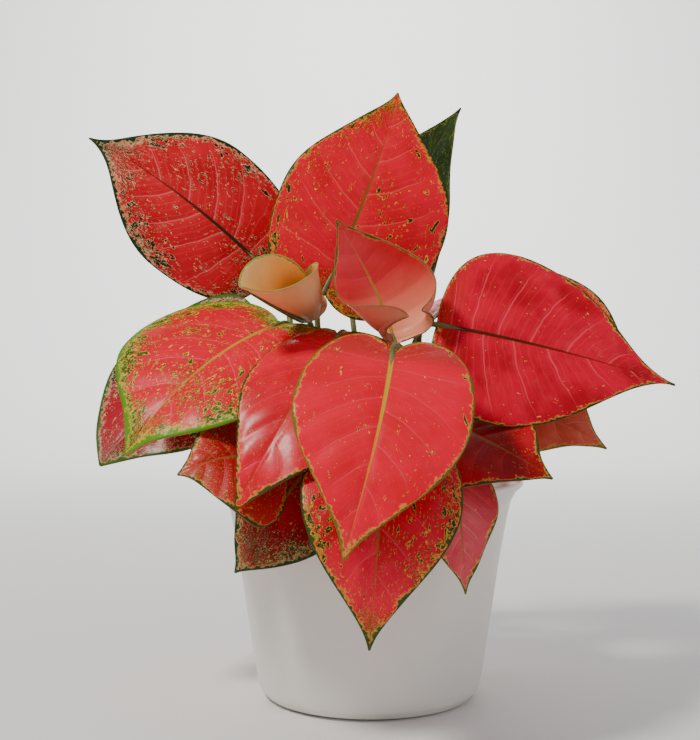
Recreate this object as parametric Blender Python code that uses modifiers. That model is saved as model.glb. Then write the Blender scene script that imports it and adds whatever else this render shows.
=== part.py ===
"""Red Chinese evergreen in a white pot: a pot, potting mix, three canes, two
young rolled leaves and twenty-two open leaves, each leaf one solid with its
stalk. Metres, +Z up, origin in the middle of the pot's flat underside."""
import bmesh
import bpy
import math
import numpy as np

# ---------------------------------------------------------------- sizes
GAP = 0.0003              # clearance between neighbouring pieces
STEPS = 36                # sides of the turned pieces

POT_BASE_R = 0.052        # flat ring the pot stands on
POT_HEIGHT = 0.120
POT_LIP_R = 0.086         # widest point, at the flared lip
POT_WALL = 0.0030
POT_FLOOR = 0.0040
POT_SIDE = [(0.0626, 0.011), (0.0682, 0.047), (0.0722, 0.074), (0.0769, 0.100)]
POT_INSIDE = [(r - POT_WALL, z) for r, z in POT_SIDE]

SOIL_TOP = 0.104          # mean level of the potting mix
SOIL_HUMP = 0.0010        # how far its surface rises above that

CANE_R = 0.0055
RING_PITCH = 0.0092       # between the ring scars of a cane
RING_SWELL = 1.12
SOCKET_ROOM = 1.16        # socket over cane radius, to clear the ring scars
SOCKET_DEPTH = 0.080
CANES = {                 # foot and top of each cane's centre line
    "left": ((-0.024, -0.004, 0.045), (-0.032, -0.012, 0.166)),
    "front": ((0.014, -0.014, 0.045), (0.013, -0.021, 0.160)),
    "back": ((0.006, 0.026, 0.045), (0.008, 0.032, 0.158)),
}

BLADE = 0.0007            # thickness of a leaf blade
STALK_R = 0.0021          # stalk at the cane
RIB_R = 0.0015            # midrib where the stalk meets the blade
RIB_TIP_R = 0.0005
ROWS = 12                 # rows of the blade, base to tip
COLS, ROLLED_COLS = 3, 8   # columns in each half of a blade
STALK_STEPS = 7

# Each leaf is set out by the base and tip of its midrib; how far the midrib
# bows off the straight line; the way its upper face looks at the base and tip;
# its full width; the left half over the right (skew); the fold at the midrib
# and the further curl out to the margin, in degrees, at base and tip; the
# lobes behind the stalk; where it is widest and how full it is near the tip;
# the cane, height and compass angle that its stalk grows from; and how the
# stalk sets off (out, up, lift) and comes in (reach).
LEAVES = {}


def leaf(name, base, tip, cane, width, bow=(0, 0, 0), face=(0, 0, 1), face_tip=None,
         skew=1.0, fold=(6, 5), curl=(-18, -14), lobe=0.06, widest=0.36, taper=0.16,
         curl_right=None, rolled=0.0, unroll=1.0, out=0.5, up=0.85, lift=0.5, reach=0.35):
    LEAVES[name] = dict(
        base=base, tip=tip, cane=cane, width=width, bow=bow, face=face,
        face_tip=face if face_tip is None else face_tip, skew=skew, fold=fold, curl=curl,
        lobe=lobe, widest=widest, taper=taper,
        curl_right=curl if curl_right is None else curl_right, rolled=rolled,
        unroll=unroll, out=out, up=up, lift=lift, reach=reach)


# --- leaves seen from the front, highest first
leaf("leaf_top", base=(-0.026, 0, 0.224), tip=(0.018, 0.045, 0.347), cane=("left", 0.160, 60),
     width=0.104, bow=(0.006, -0.012, 0.002), face=(0.15, -0.92, 0.35), skew=0.90, taper=0.20)
leaf("leaf_back_green", base=(0.020, 0.060, 0.226), tip=(0.060, 0.090, 0.348),
     cane=("back", 0.152, 80), width=0.066, bow=(-0.012, 0, 0.006), face=(0.70, -0.70, 0.20))
leaf("leaf_upper_left", base=(-0.062, 0.040, 0.242), tip=(-0.166, 0.040, 0.319),
     cane=("left", 0.158, 125), width=0.086, bow=(0, -0.008, 0.008), face=(-0.20, -0.95, 0.25),
     widest=0.40, taper=0.10)
leaf("leaf_right", base=(0.035, -0.041, 0.205), tip=(0.162, -0.036, 0.173),
     cane=("front", 0.154, 12), width=0.102, bow=(0, -0.008, 0.003), face=(-0.10, -0.85, 0.50),
     skew=1.10, lobe=0, widest=0.28, taper=0)
leaf("leaf_right_back", base=(0.064, 0.032, 0.214), tip=(0.160, 0.028, 0.178),
     cane=("back", 0.150, 0), width=0.084, bow=(0, 0, 0.014), face=(0.20, -0.82, 0.52))
leaf("leaf_left", base=(-0.048, -0.026, 0.206), tip=(-0.121, -0.085, 0.139),
     cane=("left", 0.154, 228), width=0.114, bow=(-0.004, -0.014, 0.011),
     face=(-0.35, -0.78, 0.50), skew=0.92, lobe=0.08, widest=0.42, taper=0.24)
leaf("leaf_left_back", base=(-0.063, 0.010, 0.208), tip=(-0.146, -0.025, 0.129),
     cane=("left", 0.150, 150), width=0.100, bow=(-0.008, -0.002, 0),
     face=(-0.40, -0.80, 0.45), taper=0.62, lift=0.35)
leaf("leaf_front_left", base=(-0.016, -0.045, 0.200), tip=(-0.064, -0.118, 0.116),
     cane=("front", 0.146, 228), width=0.062, bow=(0.004, -0.022, 0.010),
     face=(-0.15, -0.82, 0.55), skew=1.35, lobe=0.03, taper=0.36)
leaf("leaf_front", base=(0.010, -0.088, 0.190), tip=(-0.014, -0.140, 0.096),
     cane=("front", 0.150, 300), width=0.084, bow=(0.004, -0.022, 0.008),
     face=(0.05, -0.76, 0.64), lobe=0.14, out=0.90)
leaf("leaf_right_pale", base=(0.052, -0.010, 0.168), tip=(0.126, -0.035, 0.139),
     cane=("back", 0.126, 310), width=0.076, bow=(0, 0, 0.008), face=(0.05, -0.66, 0.75),
     fold=(-4, -4), curl=(15, 5))
leaf("leaf_right_low", base=(0.040, -0.048, 0.154), tip=(0.088, -0.090, 0.128),
     cane=("front", 0.134, 340), width=0.094, bow=(0, -0.010, 0.002), face=(0.30, -0.78, 0.55),
     skew=0.62)
leaf("leaf_left_low", base=(-0.048, -0.084, 0.138), tip=(-0.093, -0.102, 0.131),
     cane=("left", 0.140, 250), width=0.052, bow=(0, -0.006, 0.006), face=(-0.25, -0.82, 0.52),
     skew=1.50, lift=0.90, reach=0.10)
leaf("leaf_low_centre", base=(0.008, -0.085, 0.150), tip=(-0.002, -0.130, 0.054),
     cane=("front", 0.130, 262), width=0.076, bow=(0, -0.026, 0.016), face=(0.10, -0.80, 0.60))
leaf("leaf_low_right_pink", base=(0.040, -0.065, 0.138), tip=(0.046, -0.085, 0.071),
     cane=("front", 0.118, 300), width=0.044, bow=(0, -0.016, 0.006), face=(0.35, -0.85, 0.40))
leaf("leaf_low_left", base=(-0.026, -0.060, 0.138), tip=(-0.068, -0.076, 0.080),
     cane=("left", 0.116, 305), width=0.062, bow=(0, -0.020, 0.004), face=(-0.30, -0.80, 0.50),
     skew=1.20, taper=0.25)
# --- leaves on the far side, which fill the plant out all round
leaf("leaf_rear_upper", base=(-0.012, 0.066, 0.232), tip=(-0.030, 0.125, 0.285),
     cane=("back", 0.154, 125), width=0.078, bow=(0, 0.002, 0.012), face=(-0.10, 0.50, 0.86),
     face_tip=(-0.05, 0.75, 0.65))
leaf("leaf_rear_right_up", base=(0.036, 0.074, 0.210), tip=(0.086, 0.124, 0.226),
     cane=("back", 0.146, 42), width=0.074, bow=(0, 0, 0.016), face=(0.25, 0.45, 0.86),
     face_tip=(0.45, 0.60, 0.66))
leaf("leaf_rear_left", base=(-0.042, 0.060, 0.200), tip=(-0.090, 0.122, 0.158),
     cane=("back", 0.144, 160), width=0.084, bow=(-0.004, 0.004, 0.020),
     face=(-0.25, 0.45, 0.85), face_tip=(-0.45, 0.66, 0.60))
leaf("leaf_rear_centre", base=(0.004, 0.082, 0.192), tip=(0.008, 0.148, 0.118),
     cane=("back", 0.138, 95), width=0.086, bow=(0, 0.016, 0.022), face=(0.02, 0.62, 0.78),
     face_tip=(0.05, 0.90, 0.42))
leaf("leaf_rear_right", base=(0.052, 0.066, 0.176), tip=(0.096, 0.122, 0.118),
     cane=("back", 0.132, 30), width=0.080, bow=(0.006, 0.010, 0.018), face=(0.40, 0.50, 0.76),
     face_tip=(0.60, 0.66, 0.45))
leaf("leaf_rear_low_left", base=(-0.032, 0.074, 0.148), tip=(-0.066, 0.112, 0.072),
     cane=("back", 0.124, 140), width=0.070, bow=(-0.006, 0.016, 0.012),
     face=(-0.40, 0.66, 0.62), face_tip=(-0.50, 0.80, 0.30))
leaf("leaf_rear_low_right", base=(0.030, 0.078, 0.140), tip=(0.048, 0.112, 0.064),
     cane=("back", 0.116, 68), width=0.064, bow=(0.004, 0.016, 0.010),
     face=(0.30, 0.72, 0.60), face_tip=(0.40, 0.85, 0.30))
# --- the young leaf at the top of each front shoot, still rolled up
leaf("young_leaf_small", base=(-0.034, -0.018, 0.208), tip=(-0.064, -0.084, 0.222),
     cane=("left", 0.1663, None), width=0.078, bow=(0.002, 0, -0.002), face=(0.42, 0.36, 0.83),
     rolled=0.004, fold=(0, 0), curl=(250, 0), curl_right=(310, 0), lobe=0, widest=0.38,
     taper=0.30)
leaf("young_leaf_large", base=(0.013, -0.039, 0.195), tip=(-0.018, -0.044, 0.260),
     cane=("front", 0.1603, None), width=0.086, bow=(0.006, 0.010, -0.003),
     face=(0.30, -0.94, 0.10), rolled=0.005, fold=(0, 0), curl=(380, -10),
     curl_right=(225, 55), unroll=0.3, lobe=0, widest=0.20, taper=0.10)


# ---------------------------------------------------------------- leaf shape
def unit(v):
    v = np.asarray(v, float)
    return v / np.maximum(np.linalg.norm(v, axis=-1, keepdims=True), 1e-12)


def bezier(points, t):
    a, b, c, d = (np.asarray(q, float) for q in points)
    t = np.asarray(t, float)[..., None]
    u = 1 - t
    return u**3 * a + 3 * u * u * t * b + 3 * u * t * t * c + t**3 * d


def margin(a, p, foot):
    """Flat outline of one half: x along the midrib, y outward, as shares."""
    split = 0.36
    low = bezier([(0, foot), (-1.5 * p["lobe"] - 0.01, 0.30), (-0.9 * p["lobe"], 1.0),
                  (p["widest"], 1.0)], np.clip(a / split, 0, 1))
    high = bezier([(p["widest"], 1.0), (p["widest"] + 0.30, 1.0), (0.80, p["taper"]),
                   (1.0, 0.012)], np.clip((a - split) / (1 - split), 0, 1))
    return np.where((a < split)[..., None], low, high)


def midrib(p, count=65):
    """Midrib curve with its running length, direction and face normal."""
    base, tip = np.array(p["base"], float), np.array(p["tip"], float)
    t = np.linspace(0, 1, count)
    line = bezier([base, base + (tip - base) / 3 + p["bow"],
                   base + 2 * (tip - base) / 3 + p["bow"], tip], t)
    run = np.r_[0, np.cumsum(np.linalg.norm(np.diff(line, axis=0), axis=1))]
    along = unit(np.gradient(line, run, axis=0))
    w = (run / run[-1])[:, None]
    normal = unit(p["face"]) * (1 - w) + unit(p["face_tip"]) * w
    normal = unit(normal - along * (normal * along).sum(1)[:, None])
    return line, run, along, normal


def blade(p, rows, v):
    """Middle surface of the blade as a grid of points, base row first."""
    line, run, along, normal = midrib(p)
    side_dir = np.cross(along, normal)
    half, length = p["width"] / 2, run[-1]
    a = np.linspace(0, 1, rows + 1)[:, None]
    v = np.asarray(v)[None, :]
    r, side = np.abs(v), np.sign(v)
    foot = (p["rolled"] or 0.0016) / half
    m = margin(a[:, 0], p, foot)
    xm, ym = m[:, :1], m[:, 1:]
    x0 = a**1.7
    cx, cy = x0 + 0.22 * (xm - x0), 0.52 * ym
    x = (1 - r)**2 * x0 + 2 * r * (1 - r) * cx + r * r * xm
    y = (2 * r * (1 - r) * cy + r * r * ym) * np.where(side < 0, half * p["skew"], half)

    def at(table):
        return np.stack([np.interp(np.clip(x * length, 0, length), run, table[:, k])
                         for k in range(3)], -1)
    centre = at(line) + (np.minimum(x, 0) * length)[..., None] * along[0]
    nrm, sid = unit(at(normal)), unit(at(side_dir))
    share = np.clip(x, 0, 1)

    def blend(pair):
        late = share ** p["unroll"]
        return np.radians(pair[0] * (1 - late) + pair[1] * late)
    reach = half * (ym + 0 * x if p["rolled"] else 1.0)
    fold = blend(p["fold"])
    turn = np.where(side < 0, blend(p["curl"]), blend(p["curl_right"])) / reach
    if p["rolled"]:
        turn = turn * np.clip(0.35 + share / 0.12, 0, 1)
    turn = np.where(np.abs(turn) < 1e-6, 1e-6, turn)
    across = (np.sin(fold + turn * y) - np.sin(fold)) / turn
    rise = (np.cos(fold) - np.cos(fold + turn * y)) / turn
    return centre + sid * (side * across)[..., None] + nrm * rise[..., None]


def stalk(p):
    """Centre line, directions and radii of the stalk, cane to blade."""
    which, height, angle = p["cane"]
    foot, top = (np.array(q) for q in CANES[which])
    line, run, along, normal = midrib(p)
    base = line[0]
    centre = foot + (top - foot) * (height - foot[2]) / (top[2] - foot[2])
    if angle is None:
        start, leave = centre + unit(top - foot) * GAP, unit(top - foot)
    else:
        way = np.array([math.cos(math.radians(angle)), math.sin(math.radians(angle)), 0])
        leave = unit(way * p["out"] + np.array([0, 0, p["up"]]))
        start = centre + way * (CANE_R * SOCKET_ROOM + GAP * 2 + STALK_R)
    span = np.linalg.norm(base - start)
    t = np.linspace(0, 1, STALK_STEPS + 1)
    ends = [start, start + leave * span * p["lift"], base - along[0] * span * p["reach"], base]
    path = bezier(ends, t)[:-1]
    way = unit(np.gradient(bezier(ends, t), axis=0))[:-1]
    return path, way, (STALK_R + (RIB_R - STALK_R) * t)[:-1]


def columns(cols):
    """Shares of the half width at which the blade's columns stand."""
    return np.r_[0, 0.06, np.linspace(0.06, 1, cols)[1:]]


def leaf_rings(p):
    """Closed rings from the foot of the stalk to the tip of the blade."""
    half = columns(ROLLED_COLS if p["rolled"] else COLS)
    v = np.r_[-half[:0:-1], half]
    mid = blade(p, ROWS, v)
    face = unit(np.cross(np.gradient(mid, axis=1), np.gradient(mid, axis=0)))
    line, run, along, normal = midrib(p)
    if (face[ROWS // 2, len(half) - 1] * normal[32]).sum() < 0:
        face = -face
    face[0] = face[1]
    share = np.linspace(0, 1, ROWS + 1)
    ridge = np.zeros(mid.shape[:2])
    ridge[:, len(half) - 1] = (RIB_R * 1.3 - (RIB_R * 1.3 - RIB_TIP_R) * share) * (share < 0.99)
    upper = mid + face * BLADE / 2
    lower = mid - face * (BLADE / 2 + ridge)[..., None]
    blade_rings = np.concatenate([upper, lower[:, ::-1]], axis=1)

    path, way, radii = stalk(p)
    top = normal[0]
    rings = []
    for i, (place, to, radius) in enumerate(zip(path, way, radii)):
        up = unit(top - to * (top * to).sum())
        aside = np.cross(to, up)
        n = len(v)
        angle = np.r_[np.linspace(math.pi, 0, n + 1)[:-1] - math.pi / (2 * n),
                      -np.linspace(0, math.pi, n + 1)[:-1] - math.pi / (2 * n)]
        rings.append(place + radius * (np.cos(angle)[:, None] * aside
                                       + np.sin(angle)[:, None] * up))
    return np.concatenate([np.array(rings), blade_rings])


# ---------------------------------------------------------------- helpers
def clear_scene():
    for ob in list(bpy.data.objects):
        bpy.data.objects.remove(ob, do_unlink=True)


def collection(name):
    coll = bpy.data.collections.new(name)
    bpy.context.scene.collection.children.link(coll)
    return coll


def material(name, colour, rough, coat=0.0):
    mat = bpy.data.materials.new(name)
    mat.use_nodes = True
    shader = mat.node_tree.nodes["Principled BSDF"]
    shader.inputs["Base Color"].default_value = (*colour, 1)
    shader.inputs["Roughness"].default_value = rough
    shader.inputs["Coat Weight"].default_value = coat
    mat.diffuse_color = (*colour, 1)
    return mat


def new_object(name, bm, coll, mat=None):
    mesh = bpy.data.meshes.new(name)
    bm.to_mesh(mesh)
    bm.free()
    ob = bpy.data.objects.new(name, mesh)
    coll.objects.link(ob)
    if mat:
        mesh.materials.append(mat)
    return ob


def cutter(ob):
    ob.hide_render = True
    ob.display_type = "WIRE"
    return ob


def boolean(ob, other, operation):
    mod = ob.modifiers.new(operation.title(), "BOOLEAN")
    mod.operation, mod.solver, mod.object = operation, "EXACT", other


def turned(name, profile, coll, mat):
    bm = bmesh.new()
    verts = [bm.verts.new((r, 0, z)) for r, z in profile]
    for a, b in zip(verts, verts[1:]):
        bm.edges.new((a, b))
    ob = new_object(name, bm, coll, mat)
    mod = ob.modifiers.new("Turn", "SCREW")
    mod.steps = mod.render_steps = STEPS
    mod.use_merge_vertices, mod.merge_threshold = True, 0.00005
    mod.use_normal_calculate = True
    return ob


def tube(name, path, radii, coll, mat=None):
    curve = bpy.data.curves.new(name, "CURVE")
    curve.dimensions = "3D"
    curve.bevel_depth, curve.bevel_resolution, curve.use_fill_caps = 1.0, 1, True
    spline = curve.splines.new("POLY")
    spline.points.add(len(path) - 1)
    for point, place, radius in zip(spline.points, path, radii):
        point.co = (*place, 1)
        point.radius = radius
    soft = bpy.data.objects.new(name + "_line", curve)
    coll.objects.link(soft)
    bpy.context.view_layer.update()
    mesh = bpy.data.meshes.new_from_object(
        soft.evaluated_get(bpy.context.evaluated_depsgraph_get()))
    bm = bmesh.new()
    bm.from_mesh(mesh)
    bmesh.ops.remove_doubles(bm, verts=bm.verts, dist=1e-6)
    bpy.data.objects.remove(soft, do_unlink=True)
    return new_object(name, bm, coll, mat)


# ---------------------------------------------------------------- pieces
def make_pot(coll, mat):
    """Turned pot: flat closed base, tapering wall, flared rounded lip."""
    foot = [(0, 0), (POT_BASE_R, 0), (0.0575, 0.0014), (0.0610, 0.0052)]
    lip = [(0.0790, 0.109), (0.0820, 0.1145), (POT_LIP_R - 0.0008, 0.1172),
           (POT_LIP_R, 0.1186), (POT_LIP_R - 0.0006, POT_HEIGHT - 0.0002),
           (POT_LIP_R - 0.0018, POT_HEIGHT)]
    mouth = [(0.0815, 0.1180), (0.0775, 0.1130), (0.0758, 0.1085)]
    floor = [(0.0570, 0.0070), (0.0520, POT_FLOOR + 0.0004), (0.0500, POT_FLOOR),
             (0, POT_FLOOR)]
    outside = foot + POT_SIDE + lip
    inside = mouth + POT_INSIDE[::-1] + floor
    return turned("pot", (outside + inside)[::-1], coll, mat)


def make_soil(coll, cutters, mat):
    """Potting mix filling the pot to below the lip, with a socket per cane."""
    wall = [(0.0500, POT_FLOOR), (0.0570, 0.0070)] + POT_INSIDE
    side = [(r - GAP, z + GAP) for r, z in wall]
    edge_r, edge_z = side[-1]
    crown = [(edge_r + (SOIL_TOP - edge_z) * 0.17, SOIL_TOP - SOIL_HUMP), (0.068, SOIL_TOP),
             (0.056, SOIL_TOP + 0.6 * SOIL_HUMP), (0.042, SOIL_TOP),
             (0.026, SOIL_TOP + SOIL_HUMP), (0.012, SOIL_TOP + 0.6 * SOIL_HUMP),
             (0, SOIL_TOP + 0.4 * SOIL_HUMP)]
    ob = turned("potting_mix", [(0, side[0][1])] + side + crown, coll, mat)
    for name, (foot, top) in CANES.items():
        foot, top = np.array(foot), np.array(top)
        way = unit(top - foot)
        path = [foot - way * GAP, foot + way * SOCKET_DEPTH]
        hole = tube("socket_" + name, path, [CANE_R * SOCKET_ROOM + GAP * 2] * 2, cutters)
        boolean(ob, cutter(hole), "DIFFERENCE")
    return ob


def make_cane(name, coll, mat):
    """Upright cane, swollen at the ring scars left by fallen leaves."""
    foot, top = (np.array(q) for q in CANES[name])
    length = np.linalg.norm(top - foot)
    path, radii = [], []
    for i in range(int(length / RING_PITCH)):
        for share, swell in ((0.0, RING_SWELL), (0.25, 1.0), (0.75, 1.0)):
            path.append(foot + (top - foot) * (i + share) * RING_PITCH / length)
            radii.append(CANE_R * swell)
    path.append(top)
    radii.append(CANE_R * 0.8)
    return tube("cane_" + name, path, radii, coll, mat)


def make_leaf(name, p, coll, mat):
    """One loft of closed rings: stalk, then blade with its midrib ridge."""
    bm = bmesh.new()
    rings = [[bm.verts.new(place) for place in ring] for ring in leaf_rings(p)]
    for low, high in zip(rings, rings[1:]):
        for i in range(len(low)):
            j = (i + 1) % len(low)
            bm.faces.new((low[i], low[j], high[j], high[i]))
    bm.faces.new(rings[0][::-1])
    bm.faces.new(rings[-1])
    bmesh.ops.recalc_face_normals(bm, faces=bm.faces)
    bmesh.ops.triangulate(bm, faces=bm.faces)
    return new_object(name, bm, coll, mat)


def main():
    clear_scene()
    parts, cutters = collection("potted_chinese_evergreen"), collection("cutters")
    cutters.hide_render = True
    white = material("pot_glaze", (0.86, 0.85, 0.82), 0.35)
    earth = material("potting_mix", (0.09, 0.055, 0.035), 0.95)
    bark = material("cane_skin", (0.22, 0.23, 0.10), 0.6)
    make_pot(parts, white)
    make_soil(parts, cutters, earth)
    for name in CANES:
        make_cane(name, parts, bark)
    red, young = (0.72, 0.05, 0.05), (0.85, 0.30, 0.20)
    for name, p in LEAVES.items():
        skin = material(name + "_skin", young if p["rolled"] else red, 0.35, 0.3)
        make_leaf(name, p, parts, skin)


main()
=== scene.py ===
# %% [markdown]
# # A red Chinese evergreen in a white pot
# The plant is a clump of three short canes in a turned pot. Every leaf grows
# on its own stalk, and the two newest leaves are still rolled up. The packed
# model gives each piece its place and size, so it is loaded first, and each
# finished piece made below stands in for one of its nodes.

# %% Load the frame
import math
import random

import bpy
import numpy as np
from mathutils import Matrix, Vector, kdtree, noise


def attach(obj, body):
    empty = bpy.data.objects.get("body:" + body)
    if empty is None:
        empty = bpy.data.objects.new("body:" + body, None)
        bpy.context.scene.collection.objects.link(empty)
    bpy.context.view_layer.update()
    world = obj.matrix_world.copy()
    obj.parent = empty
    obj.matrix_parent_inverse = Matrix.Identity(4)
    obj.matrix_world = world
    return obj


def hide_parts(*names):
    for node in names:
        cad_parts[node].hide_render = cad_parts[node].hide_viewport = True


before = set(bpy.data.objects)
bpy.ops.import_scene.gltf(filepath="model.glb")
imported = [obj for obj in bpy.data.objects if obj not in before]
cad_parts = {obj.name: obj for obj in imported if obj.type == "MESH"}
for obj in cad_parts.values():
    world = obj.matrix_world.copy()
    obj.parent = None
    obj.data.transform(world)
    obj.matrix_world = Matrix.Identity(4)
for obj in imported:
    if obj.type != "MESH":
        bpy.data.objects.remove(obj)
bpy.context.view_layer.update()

MM = 0.001
print("nodes in the frame:", len(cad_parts))

# %% [markdown]
# ## Helpers for making pieces
# Everything starts from nothing selected, because an operator acts on all
# that is selected. A finished piece keeps its place in its mesh, rides on the
# one body, and replaces the plain node of the same name.

# %% Making and finishing a piece
def select_only(ob):
    bpy.ops.object.select_all(action="DESELECT")
    ob.select_set(True)
    bpy.context.view_layer.objects.active = ob


def apply_all(ob):
    select_only(ob)
    bpy.ops.object.transform_apply(location=True, rotation=True, scale=True)
    for modifier in list(ob.modifiers):
        bpy.ops.object.modifier_apply(modifier=modifier.name)


def join(pieces, name):
    select_only(pieces[0])
    for other in pieces[1:]:
        other.select_set(True)
    bpy.ops.object.join()
    pieces[0].name = name
    return pieces[0]


def finish_piece(ob, node):
    ob.name = node + "_finished"
    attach(ob, "root")
    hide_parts(node)
    print(f"{ob.name}: {len(ob.data.polygons)} faces")


def linear(red, green, blue):
    """A screen colour, 0 to 255, as the linear colour that shaders take."""
    return tuple(max(0.002, (c / 255) ** 2.2) for c in (red, green, blue)) + (1.0,)


# %% [markdown]
# ## Helpers for making materials
# A material is a tree of small steps. These helpers add one step each, so
# that a pattern reads like the sum it is.

# %% Node helpers
def add(tree, kind, inputs=(), **settings):
    """One shader node, with its settings and the values or links it takes."""
    node = tree.nodes.new("ShaderNode" + kind)
    for key, value in settings.items():
        setattr(node, key, value)
    for key, value in dict(inputs).items():
        if isinstance(value, bpy.types.NodeSocket):
            tree.links.new(value, node.inputs[key])
        else:
            node.inputs[key].default_value = value
    return node


def maths(tree, operation, a, b=0.0, c=0.0):
    return add(tree, "Math", {0: a, 1: b, 2: c}, operation=operation).outputs[0]


def ramp(tree, value, low, high, start=0.0, end=1.0):
    """Goes smoothly from start to end as value goes from low to high."""
    node = add(tree, "MapRange", {"Value": value, "From Min": low, "From Max": high,
                                  "To Min": start, "To Max": end},
               interpolation_type="SMOOTHSTEP")
    return node.outputs[0]


def blend(tree, share, first, second):
    node = add(tree, "Mix", {0: share, 6: first, 7: second}, data_type="RGBA")
    return node.outputs[2]


def cloud(tree, where, scale, detail=3.0):
    return add(tree, "TexNoise", {"Vector": where, "Scale": scale, "Detail": detail}).outputs[0]


def new_group(name, inputs, outputs):
    tree = bpy.data.node_groups.new(name, "ShaderNodeTree")
    for label, kind in inputs:
        tree.interface.new_socket(label, in_out="INPUT", socket_type="NodeSocket" + kind)
    for label, kind in outputs:
        tree.interface.new_socket(label, in_out="OUTPUT", socket_type="NodeSocket" + kind)
    return tree, tree.nodes.new("NodeGroupInput").outputs, tree.nodes.new("NodeGroupOutput").inputs


def new_material(name, roughness, coat=0.0, coat_roughness=0.1):
    mat = bpy.data.materials.new(name)
    mat.use_nodes = True
    shader = mat.node_tree.nodes["Principled BSDF"]
    shader.inputs["Roughness"].default_value = roughness
    shader.inputs["Coat Weight"].default_value = coat
    shader.inputs["Coat Roughness"].default_value = coat_roughness
    return mat, mat.node_tree, shader


def relief(tree, shader, height, distance):
    bump = add(tree, "Bump", {"Height": height, "Distance": distance, "Strength": 1.0})
    tree.links.new(bump.outputs[0], shader.inputs["Normal"])


# %% [markdown]
# ## The pot
# The real pot is turned or moulded: a round foot, a plain tapering wall, and a
# lip that flares and rolls over. It could be spun from a profile. Here it is
# raised ring by ring from a flat disc, as a potter would raise it, because
# each ring is then one height and one radius.

# %% Raise the pot
POT_RINGS = [(57.5, 1.4), (61.0, 5.2), (62.6, 11.0), (68.2, 47.0), (72.2, 74.0), (76.9, 100.0),
             (79.0, 109.0), (82.0, 114.5), (85.2, 117.2), (86.0, 118.6), (85.4, 119.8),
             (84.2, 120.0), (81.5, 118.0), (77.5, 113.0), (75.8, 108.5), (73.9, 100.0),
             (69.2, 74.0), (65.2, 47.0), (59.6, 11.0), (57.0, 7.0), (52.0, 4.4)]
POT_FOOT = 52.0 * MM
SIDES = 128


def raise_rings(name, foot, start, rings):
    """A round body: a disc whose face is drawn up and resized ring by ring."""
    bpy.ops.object.select_all(action="DESELECT")
    bpy.ops.mesh.primitive_circle_add(vertices=SIDES, radius=foot, fill_type="NGON",
                                      location=(0, 0, start))
    ob = bpy.context.object
    ob.name = name
    bpy.ops.object.mode_set(mode="EDIT")
    radius, height = foot, start
    for r, z in rings:
        r, z = r * MM, z * MM
        bpy.ops.mesh.extrude_region_move(TRANSFORM_OT_translate={"value": (0, 0, z - height)})
        bpy.ops.transform.resize(value=(r / radius, r / radius, 1))
        radius, height = r, z
    bpy.ops.mesh.select_all(action="SELECT")
    bpy.ops.mesh.normals_make_consistent(inside=False)
    bpy.ops.object.mode_set(mode="OBJECT")
    return ob


pot = raise_rings("pot_body", POT_FOOT, 0.0, POT_RINGS)
rounding = pot.modifiers.new("Round the rings", "BEVEL")
rounding.width, rounding.segments, rounding.limit_method = 0.5 * MM, 3, "ANGLE"
rounding.angle_limit = math.radians(12)
apply_all(pot)
bpy.ops.object.shade_smooth_by_angle(angle=math.radians(50))
print("pot, mm:", [round(d / MM, 1) for d in pot.dimensions])

# %% [markdown]
# ## Satin glaze
# A plain white glaze is never quite even: it pools a little, its gloss varies
# and it keeps faint rings from turning. Each of those is one soft pattern.

# %% The glaze
def make_glaze():
    mat, tree, shader = new_material("satin_white_glaze", 0.38, coat=0.25, coat_roughness=0.22)
    where = add(tree, "TexCoord").outputs["Object"]
    pools = cloud(tree, where, 18.0)
    grain = cloud(tree, where, 900.0, 2.0)
    low = add(tree, "SeparateXYZ", {0: where}).outputs[2]
    # darker towards the foot: the lowest 12 mm of the wall is blended, in patches, toward a
    # grey-brown
    foot_darkening = maths(tree, "MULTIPLY", ramp(tree, low, 0.012, 0.0), ramp(tree, pools, 0.35, 0.7))
    white = blend(tree, pools, linear(238, 234, 226), linear(228, 223, 214))
    tree.links.new(blend(tree, maths(tree, "MULTIPLY", foot_darkening, 0.5), white, linear(190, 180, 165)),
                   shader.inputs["Base Color"])
    tree.links.new(ramp(tree, pools, 0.3, 0.7, 0.32, 0.46), shader.inputs["Roughness"])
    turning = add(tree, "TexWave", {"Vector": where, "Scale": 55.0, "Distortion": 1.5},
                  bands_direction="Z").outputs["Fac"]
    height = maths(tree, "ADD", maths(tree, "MULTIPLY", turning, 0.25),
                   maths(tree, "ADD", pools, maths(tree, "MULTIPLY", grain, 0.2)))
    relief(tree, shader, height, 0.12 * MM)
    return mat


pot.data.materials.append(make_glaze())
finish_piece(pot, "pot")

# %% [markdown]
# ## Potting mix
# The mix is peat, bark and a few pale grains, level but lumpy. A raised round
# body gives it the right size under the rim, its top is pushed up and down by
# noise, and a few hundred crumbs are scattered over it.

# %% The mix and its crumbs
SOIL_TOP = 104.0 * MM
SOIL_RINGS = [(56.7, 7.3), (59.3, 11.3), (64.9, 47.3), (68.9, 74.3), (73.6, 100.3),
              (74.0, 103.0)] + [(r, 104.0) for r in range(70, 4, -3)]
SOIL_FOOT, SOIL_START = 50.0 * MM, 4.3 * MM
LUMPY_R, LUMPY_DEPTH = 73.0 * MM, 1.2 * MM     # the part of the top that noise moves
LUMP, LUMP_SCALE = 0.9 * MM, 160
GRIT, GRIT_SCALE = 0.5 * MM, 420
CRUMBS = 420
CRUMB_R = 70.0 * MM                            # how far out the crumbs lie


def lumpy(ob, top):
    for vert in ob.data.vertices:
        if vert.co.z > top - LUMPY_DEPTH and math.hypot(vert.co.x, vert.co.y) < LUMPY_R:
            lump = LUMP * noise.noise(vert.co * LUMP_SCALE)
            vert.co.z += lump + GRIT * noise.noise(vert.co * GRIT_SCALE)


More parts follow.
